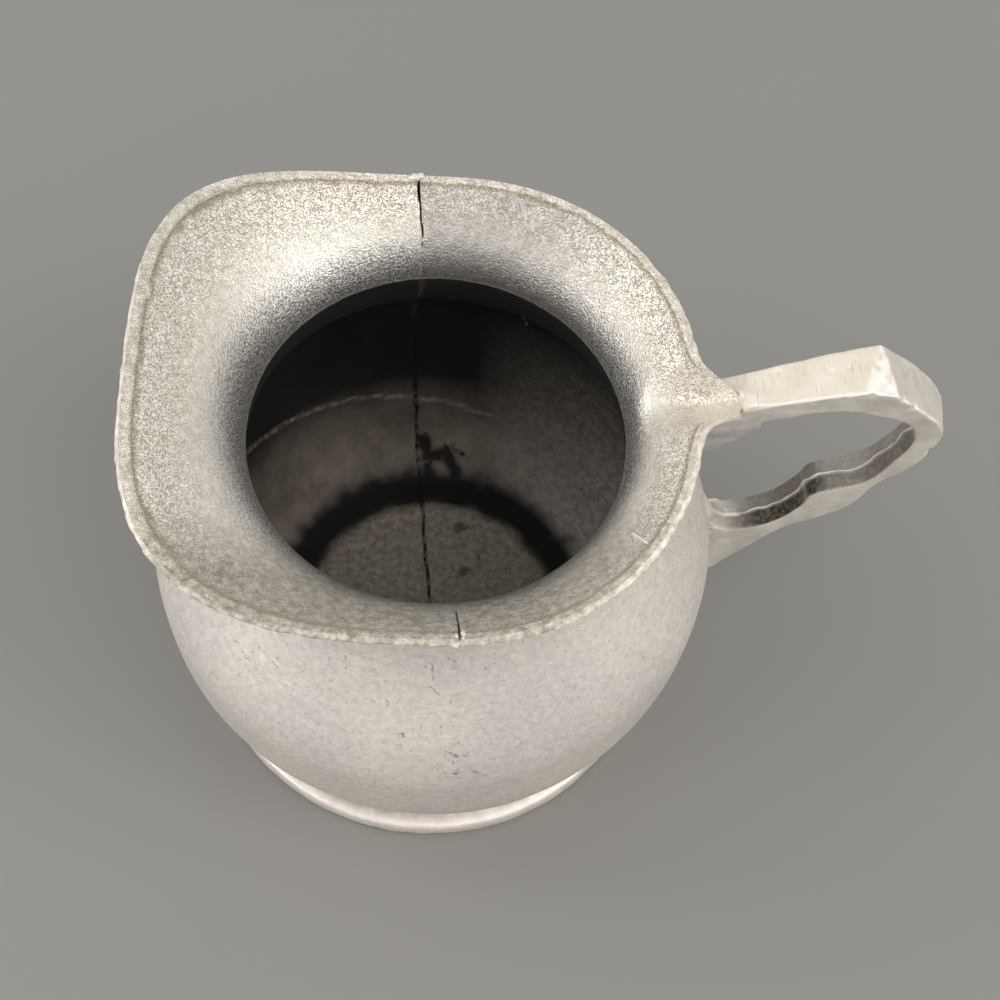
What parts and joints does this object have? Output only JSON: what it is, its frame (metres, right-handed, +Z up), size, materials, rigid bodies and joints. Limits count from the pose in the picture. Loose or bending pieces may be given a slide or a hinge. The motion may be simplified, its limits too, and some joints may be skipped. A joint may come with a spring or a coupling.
{
  "type": "pewter creamer",
  "caption": "Small hand-cast pewter cream jug: bellied body in halves on an upright seam, wide flared pouring lip, low foot ring and cast loop handle.",
  "frame": {"origin": "on the table under the middle of the whole object, spout to handle", "axes": "+X from the spout to the handle, +Z up, +Y to the far side of the picture's view"},
  "size_m": [0.0877, 0.0636, 0.0638],
  "materials": {
    "pewter": "sand-cast pewter, granular on the lip, scraped semi-matt outside, stained dark inside",
    "solder": "tin solder, slightly brighter, lumpy or filed"
  },
  "bodies": {
    "root": {"spout_half": "pewter", "handle_half": "pewter", "foot_ring": "pewter", "handle": "pewter", "seam_solder_far": "solder", "seam_solder_near": "solder", "rim_tack_far": "solder", "rim_tack_near": "solder", "handle_upper_solder": "solder", "handle_lower_solder": "solder", "foot_solder": "solder"}
  },
  "joints": []
}
